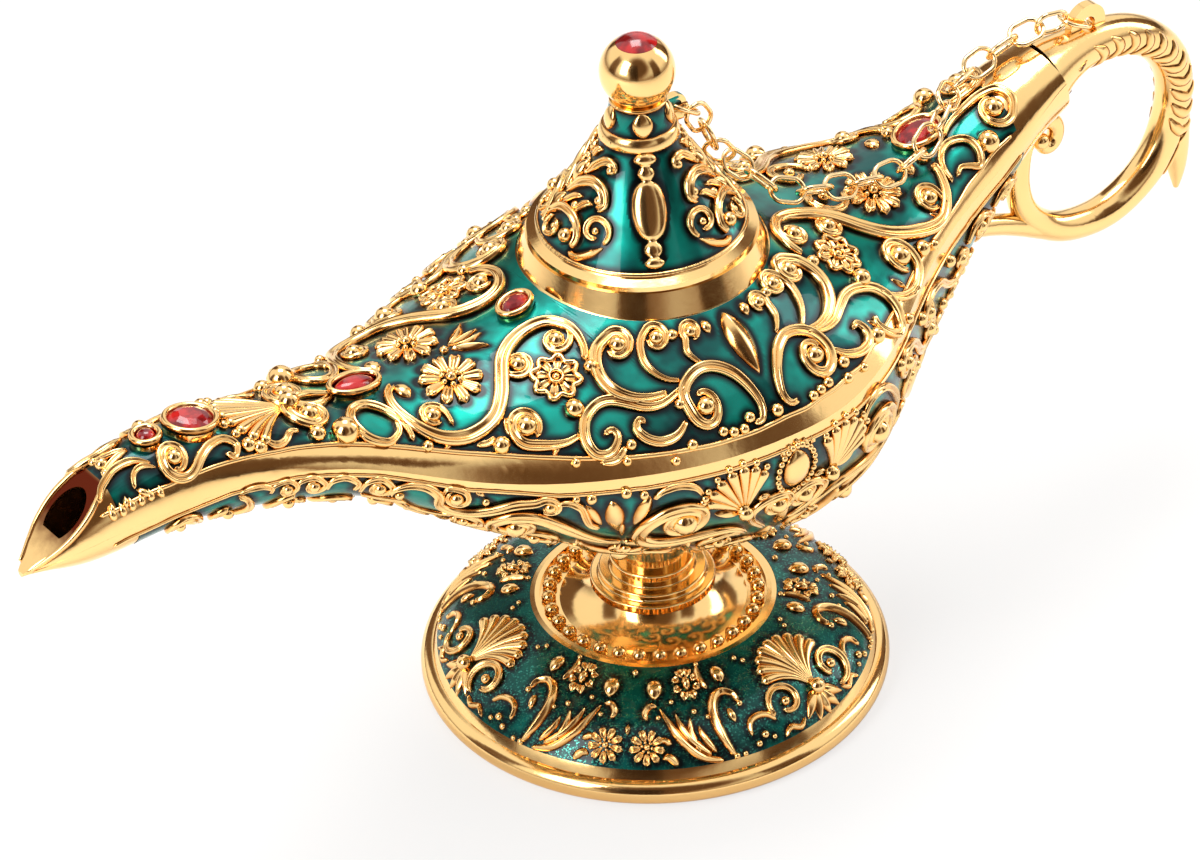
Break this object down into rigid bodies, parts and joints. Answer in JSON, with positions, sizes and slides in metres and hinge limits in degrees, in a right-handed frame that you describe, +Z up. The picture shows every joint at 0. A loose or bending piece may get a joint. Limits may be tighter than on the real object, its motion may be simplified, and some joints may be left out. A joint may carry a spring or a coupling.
{
  "type": "genie oil lamp",
  "caption": "Gold-plated genie oil lamp with green enamel scrollwork, red set stones, a chained lift-off lid, a long open spout and a ring handle on a round domed foot.",
  "frame": {"origin": "on the surface the lamp stands on, under the middle of its round foot", "axes": "+Z up through the stem and the lid; -X towards the tip of the spout, +X towards the handle"},
  "size_m": [0.209, 0.07, 0.1102],
  "materials": {
    "gold_plate": "polished gold plate on cast metal",
    "pale_gold_plate": "bright pale gold plate on wire",
    "green_enamel": "glossy green enamel between raised polished gold ornament",
    "red_glass": "clear red cut glass",
    "steel": "plain zinc-plated"
  },
  "bodies": {
    "lamp_body": {"foot": "green_enamel", "stem": "gold_plate", "stem_washer": "steel", "stem_bolt": "steel", "lower_shell": "green_enamel", "upper_shell": "green_enamel", "mouth_collar": "gold_plate", "handle": "gold_plate", "spout_gem_small": "red_glass", "spout_gem_large": "red_glass", "bridge_gem": "red_glass", "collar_gem": "red_glass", "tail_gem": "red_glass", "chain_link_16": "pale_gold_plate", "chain_link_17": "pale_gold_plate", "chain_link_18": "pale_gold_plate", "chain_link_19": "pale_gold_plate", "chain_link_20": "pale_gold_plate", "chain_link_21": "pale_gold_plate"},
    "lid": {"lid": "green_enamel", "finial_ball": "gold_plate", "finial_gem": "red_glass", "chain_link_01": "pale_gold_plate", "chain_link_02": "pale_gold_plate", "chain_link_03": "pale_gold_plate", "chain_link_04": "pale_gold_plate"},
    "chain_13_to_15": {"chain_link_15": "pale_gold_plate", "chain_link_14": "pale_gold_plate", "chain_link_13": "pale_gold_plate"},
    "chain_10_to_12": {"chain_link_12": "pale_gold_plate", "chain_link_11": "pale_gold_plate", "chain_link_10": "pale_gold_plate"},
    "chain_07_to_09": {"chain_link_09": "pale_gold_plate", "chain_link_08": "pale_gold_plate", "chain_link_07": "pale_gold_plate"},
    "chain_05_to_06": {"chain_link_06": "pale_gold_plate", "chain_link_05": "pale_gold_plate"}
  },
  "joints": [
    {"name": "lid_lift", "type": "slide", "parent": "lamp_body", "child": "lid", "axis": [0, 0, 1], "range_m": [0, 0.01]},
    {"name": "chain_hinge_15", "type": "hinge", "parent": "lamp_body", "child": "chain_13_to_15", "pos_m": [0.05755, 0.00051, 0.07762], "axis": [0, 1, 0], "range_deg": [0, 25.66]},
    {"name": "chain_hinge_12", "type": "hinge", "parent": "chain_13_to_15", "child": "chain_10_to_12", "pos_m": [0.04664, -0.00536, 0.07391], "axis": [0, 1, 0], "range_deg": [-9.41, 0]},
    {"name": "chain_hinge_09", "type": "hinge", "parent": "chain_10_to_12", "child": "chain_07_to_09", "pos_m": [0.03368, -0.00585, 0.07399], "axis": [0, 1, 0], "range_deg": [-6.66, 0]},
    {"name": "chain_hinge_06", "type": "hinge", "parent": "chain_07_to_09", "child": "chain_05_to_06", "pos_m": [0.02131, -0.00296, 0.07705], "axis": [0, 1, 0], "range_deg": [-17.33, 0]}
  ],
  "couplings": [
    {"joint": "chain_hinge_15", "follows": "lid_lift", "rad_per_m": 44.762},
    {"joint": "chain_hinge_12", "follows": "lid_lift", "rad_per_m": -16.422},
    {"joint": "chain_hinge_09", "follows": "lid_lift", "rad_per_m": -11.624},
    {"joint": "chain_hinge_06", "follows": "lid_lift", "rad_per_m": -30.231}
  ]
}
